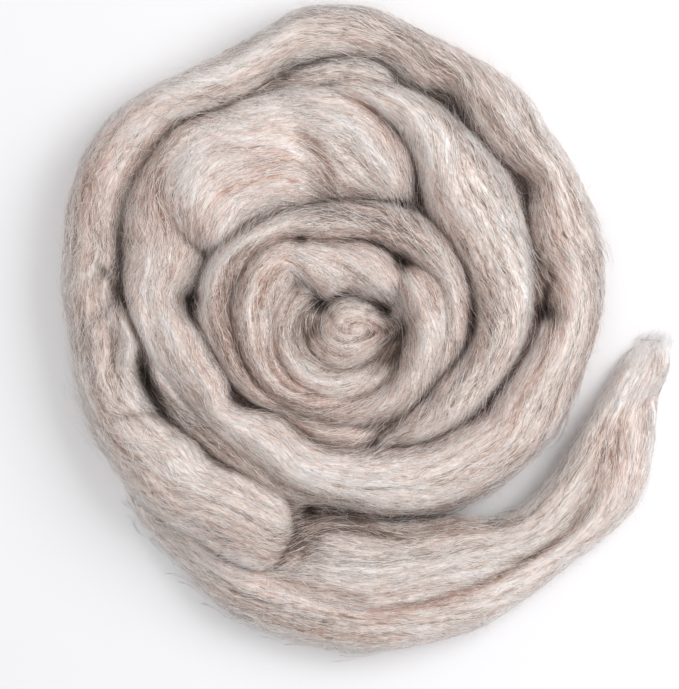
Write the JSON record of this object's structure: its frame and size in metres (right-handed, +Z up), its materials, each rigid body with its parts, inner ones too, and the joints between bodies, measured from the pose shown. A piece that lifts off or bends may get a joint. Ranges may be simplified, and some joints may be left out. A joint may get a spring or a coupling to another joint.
{
  "type": "wool roving",
  "caption": "Loose flat coil of undyed combed wool roving with its free tail end lying beside it, for spinning, felting and craft scenes.",
  "frame": {"origin": "middle of the footprint, on the surface that the coil lies on", "axes": "+Z up, +X towards the free end of the tail, +Y towards the side of the coil away from the tail's lower bend"},
  "size_m": [0.2776, 0.2926, 0.0561],
  "materials": {
    "wool": "matt, soft and fibrous, undyed combed wool in warm greys and cream"
  },
  "bodies": {
    "root": {"wool_roving": "wool"}
  },
  "joints": []
}
